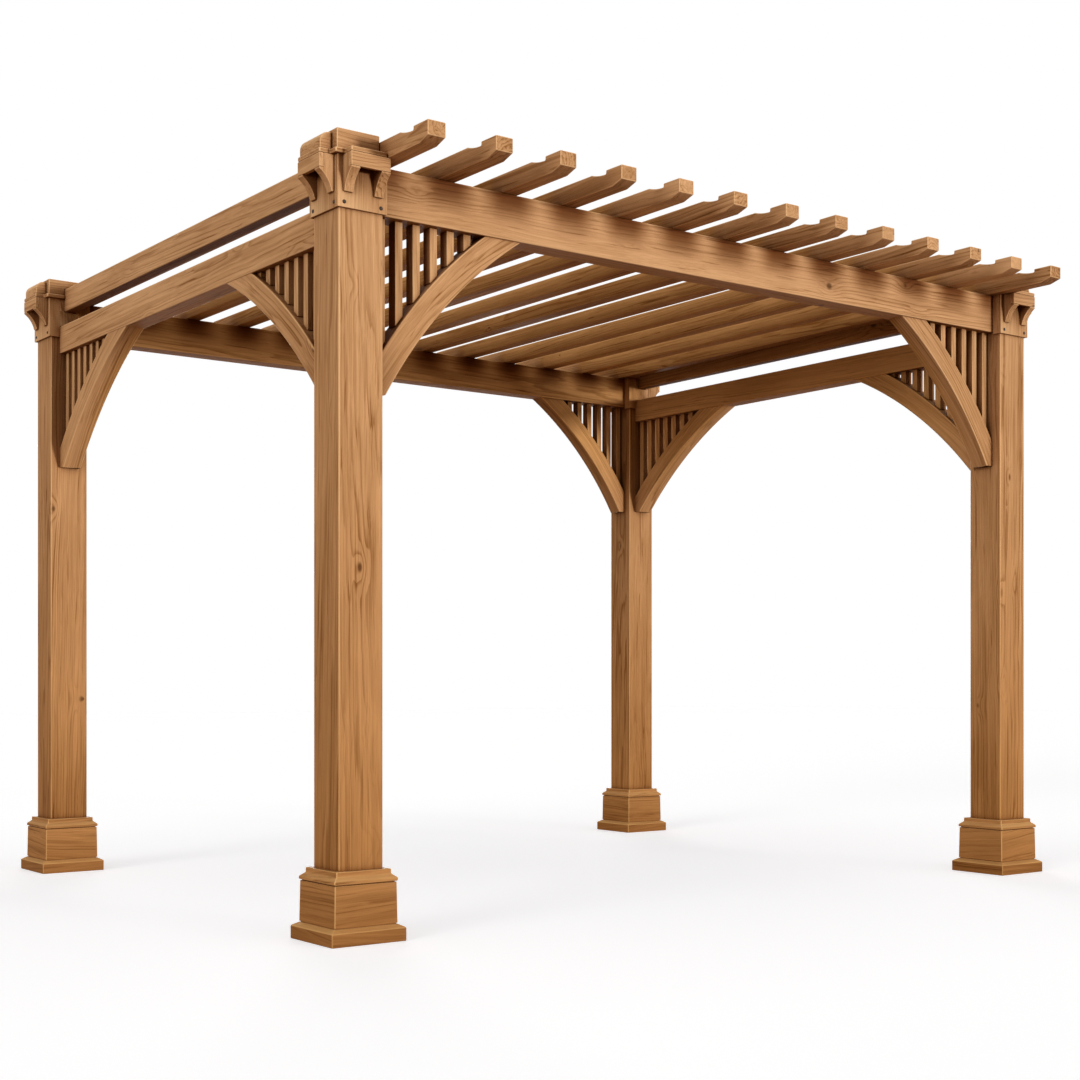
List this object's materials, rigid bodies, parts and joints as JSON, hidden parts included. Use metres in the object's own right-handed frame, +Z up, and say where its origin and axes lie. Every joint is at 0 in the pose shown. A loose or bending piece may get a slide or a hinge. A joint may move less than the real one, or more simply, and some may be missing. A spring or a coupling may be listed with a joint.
{
  "type": "wooden pergola",
  "caption": "Open wooden pergola: square posts on moulded bases, arched knee braces with slatted corners, bracketed capitals and a flat roof of shaped rafters.",
  "frame": {"origin": "on the ground, at the middle of the plan", "axes": "+Z up, +X along the long side, -Y towards the front long side with the rafter tails"},
  "size_m": [3.268, 2.992, 2.369],
  "materials": {
    "post_wood": "satin",
    "trim_wood": "satin",
    "beam_wood": "satin",
    "brace_wood": "satin",
    "slat_wood": "satin",
    "rafter_wood": "satin"
  },
  "bodies": {
    "root": {"post_front_left": "post_wood", "post_front_right": "post_wood", "post_rear_left": "post_wood", "post_rear_right": "post_wood", "base_front_left": "trim_wood", "base_front_right": "trim_wood", "base_rear_left": "trim_wood", "base_rear_right": "trim_wood", "collar_front_left": "trim_wood", "collar_front_right": "trim_wood", "collar_rear_left": "trim_wood", "collar_rear_right": "trim_wood", "brackets_front_left": "trim_wood", "brackets_front_right": "trim_wood", "brackets_rear_left": "trim_wood", "brackets_rear_right": "trim_wood", "cap_front_left": "trim_wood", "cap_front_right": "trim_wood", "cap_rear_left": "trim_wood", "cap_rear_right": "trim_wood", "braces_front_left": "brace_wood", "braces_front_right": "brace_wood", "braces_rear_left": "brace_wood", "braces_rear_right": "brace_wood", "slats_front_left": "slat_wood", "slats_front_right": "slat_wood", "slats_rear_left": "slat_wood", "slats_rear_right": "slat_wood", "front_beam": "beam_wood", "rear_beam": "beam_wood", "left_beam": "beam_wood", "right_beam": "beam_wood", "left_rail": "beam_wood", "right_rail": "beam_wood", "rafter_01": "rafter_wood", "rafter_02": "rafter_wood", "rafter_03": "rafter_wood", "rafter_04": "rafter_wood", "rafter_05": "rafter_wood", "rafter_06": "rafter_wood", "rafter_07": "rafter_wood", "rafter_08": "rafter_wood", "rafter_09": "rafter_wood", "rafter_10": "rafter_wood", "rafter_11": "rafter_wood", "rafter_12": "rafter_wood", "rafter_13": "rafter_wood"}
  },
  "joints": []
}
